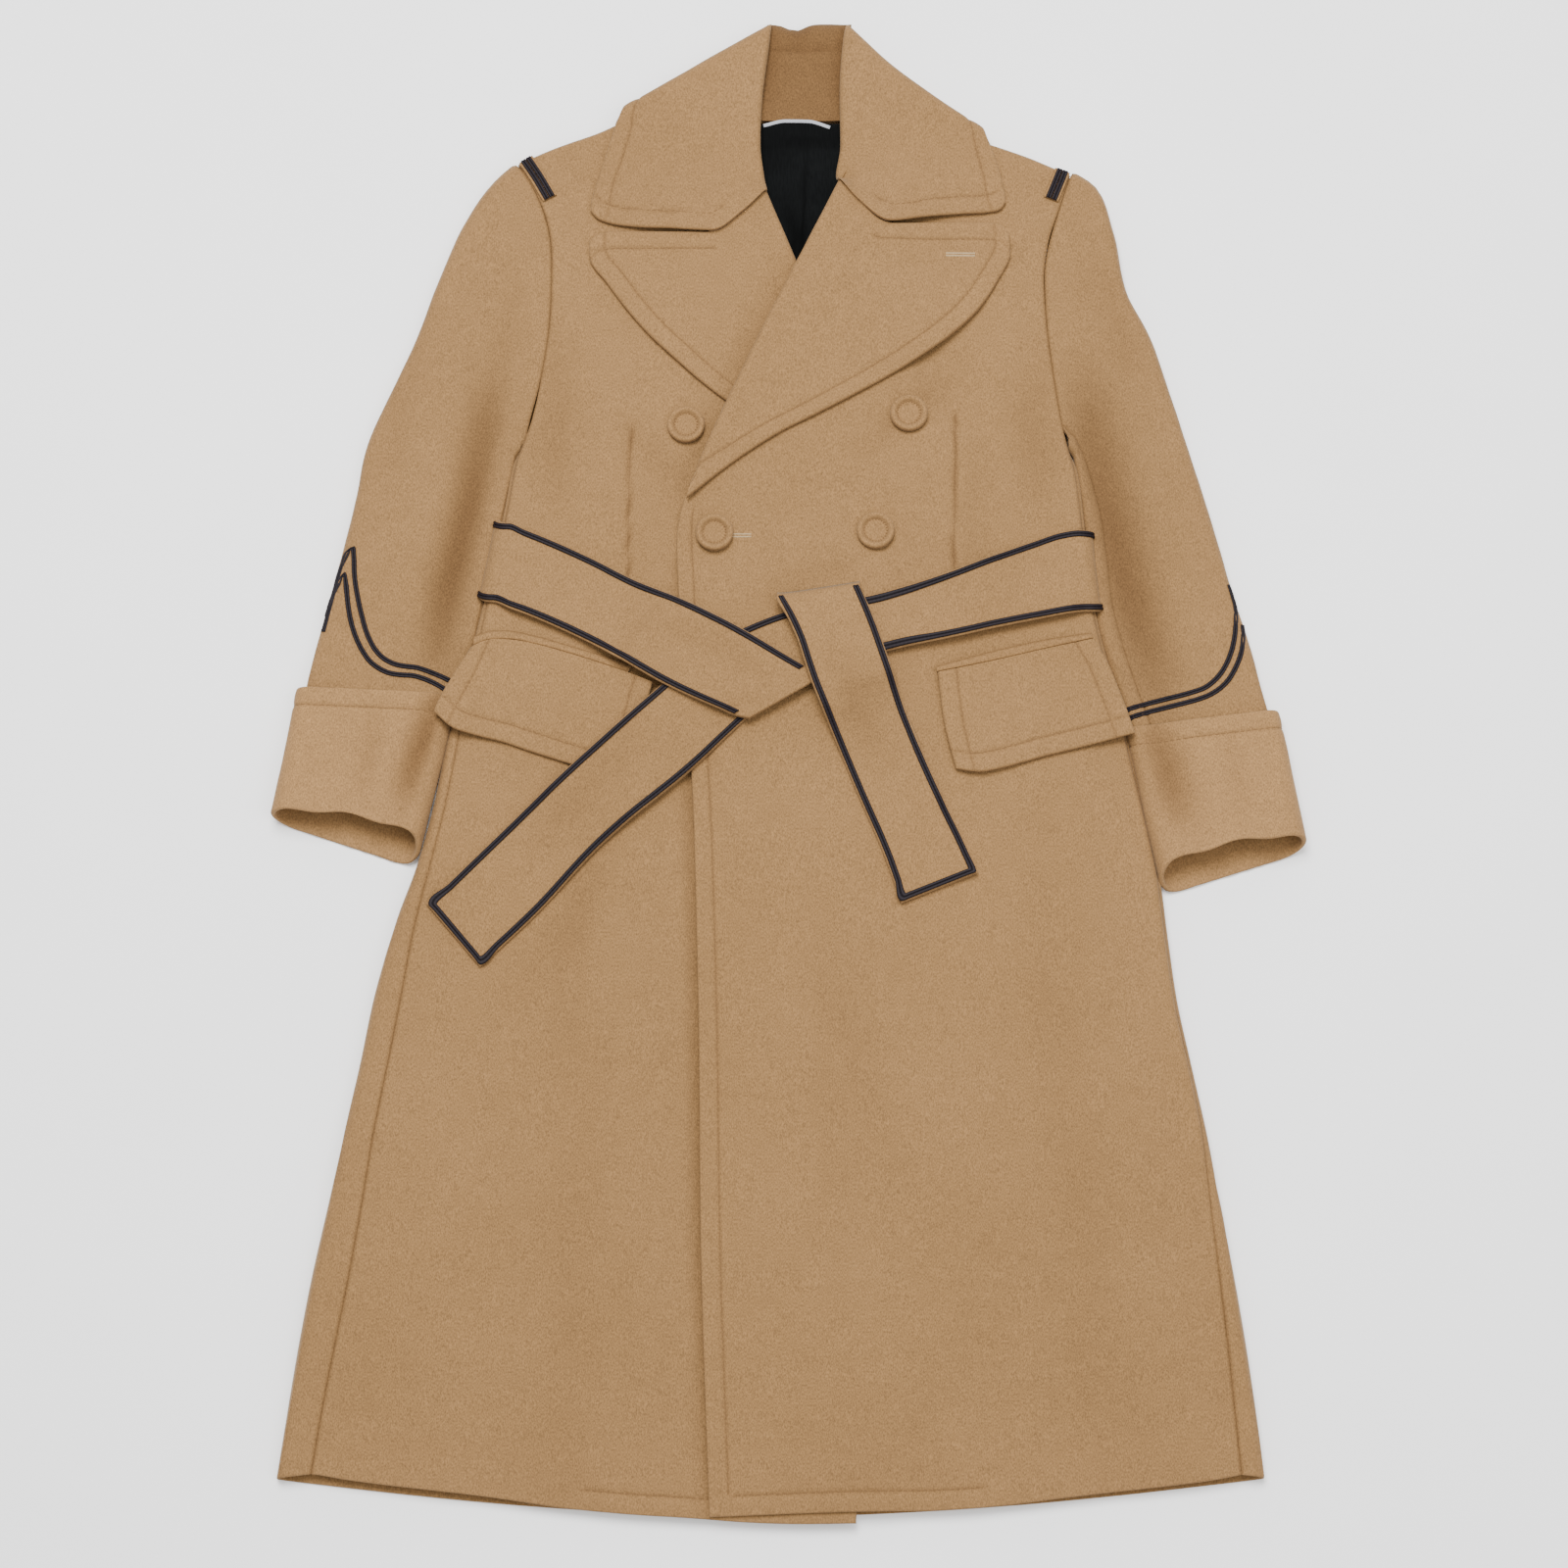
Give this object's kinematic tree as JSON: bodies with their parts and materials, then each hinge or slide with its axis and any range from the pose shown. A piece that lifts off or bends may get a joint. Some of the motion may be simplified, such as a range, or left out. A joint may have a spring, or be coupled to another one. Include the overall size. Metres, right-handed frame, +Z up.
{
  "type": "belted coat",
  "caption": "Heavy wool double-breasted coat lying flat, with wide pointed lapels, deep turn-back cuffs, flap pockets, and a knotted belt and sleeves trimmed with dark braid",
  "frame": {"origin": "middle of the footprint on the surface the coat lies on", "axes": "+Y runs from the hem to the collar, +Z up from the surface, +X to the viewer's right, the wearer's left"},
  "size_m": [0.838, 1.245, 0.0474],
  "materials": {
    "wool": "brushed heavy wool",
    "braid": "ribbed soutache braid",
    "lining": "smooth lining",
    "loop": "satin cord"
  },
  "bodies": {
    "root": {"back_lining": "lining", "back_panel": "wool", "belt_back": "wool", "belt_back_braid_lower": "braid", "belt_back_braid_upper": "braid", "belt_left_braid_lower": "braid", "belt_left_braid_upper": "braid", "belt_left_run": "wool", "belt_over_braid": "braid", "belt_over_end": "wool", "belt_right_braid": "braid", "belt_right_run": "wool", "button_left_front": "wool", "button_left_lower": "wool", "button_left_upper": "wool", "button_right_upper": "wool", "collar": "wool", "collar_stand": "wool", "hanger_loop": "loop", "left_cuff": "wool", "left_flap": "wool", "left_front": "wool", "left_lapel": "wool", "left_shoulder_braid_inner": "braid", "left_shoulder_braid_outer": "braid", "left_shoulder_tab": "wool", "left_sleeve_braid_lower": "braid", "left_sleeve_braid_upper": "braid", "left_top_sleeve": "wool", "left_under_sleeve": "wool", "left_welt": "wool", "right_cuff": "wool", "right_flap": "wool", "right_front": "wool", "right_lapel": "wool", "right_shoulder_braid_inner": "braid", "right_shoulder_braid_outer": "braid", "right_shoulder_tab": "wool", "right_sleeve_braid_lower": "braid", "right_sleeve_braid_upper": "braid", "right_top_sleeve": "wool", "right_under_sleeve": "wool", "right_welt": "wool"}
  },
  "joints": []
}
